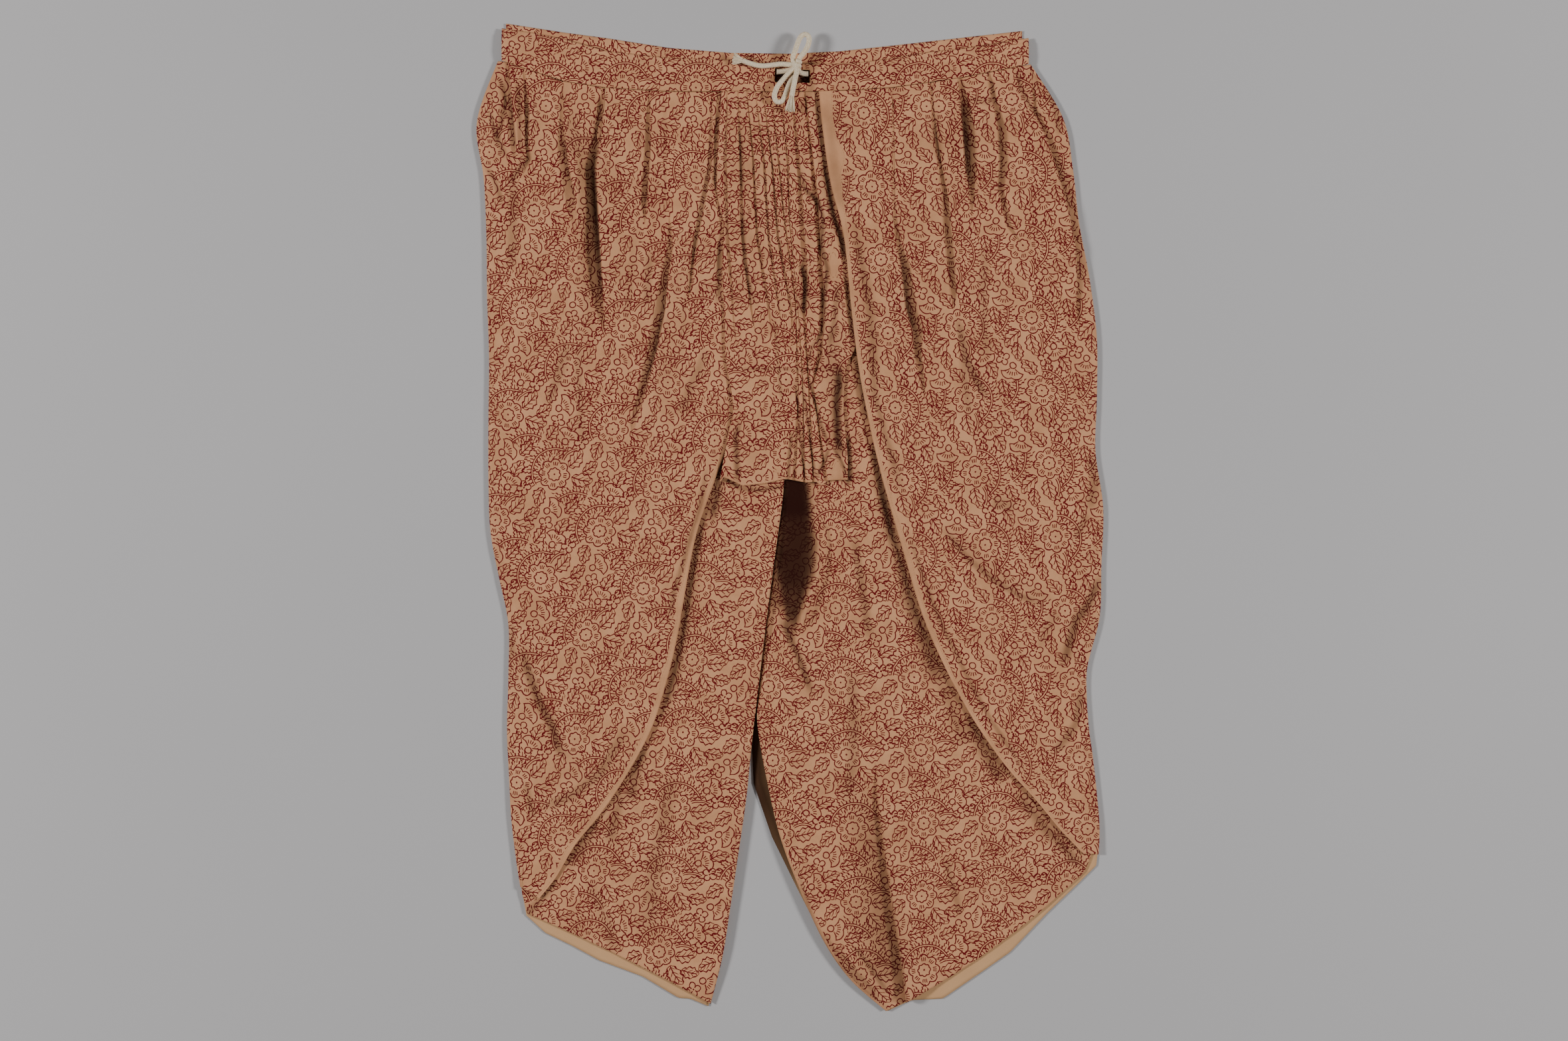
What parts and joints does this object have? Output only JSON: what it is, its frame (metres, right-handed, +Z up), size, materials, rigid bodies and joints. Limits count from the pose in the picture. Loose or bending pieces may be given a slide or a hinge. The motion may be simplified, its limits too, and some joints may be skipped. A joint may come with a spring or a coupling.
{
  "type": "dhoti salwar",
  "caption": "Draped cotton dhoti salwar laid flat, with petal drapes over its legs, a pleated centre fan and a drawstring waistband.",
  "frame": {"origin": "on the surface that the garment lies on, under the middle of its bounding box", "axes": "+Y from the hems to the waist, +X to the viewer's right, +Z up from the surface, out of the garment's front"},
  "size_m": [0.6142, 0.9692, 0.0203],
  "materials": {
    "printed_cotton": "matte block-printed cotton, tan with dark red lines",
    "plain_cotton": "matte plain wrong side of the printed cotton",
    "cord_cotton": "matte cream cotton cord"
  },
  "bodies": {
    "root": {"back_left": "plain_cotton", "back_right": "plain_cotton", "waistband_back": "printed_cotton", "leg_left": "printed_cotton", "leg_right": "printed_cotton", "drape_left": "printed_cotton", "drape_right": "printed_cotton", "centre_pleats": "printed_cotton", "waistband_front": "printed_cotton", "drawstring_knot": "cord_cotton", "drawstring_from_left": "cord_cotton", "drawstring_from_right": "cord_cotton", "drawstring_end_left": "cord_cotton", "drawstring_end_down": "cord_cotton", "drawstring_loop_upper": "cord_cotton", "drawstring_loop_lower": "cord_cotton", "drawstring_tuft_left": "cord_cotton", "drawstring_tuft_down": "cord_cotton"}
  },
  "joints": []
}
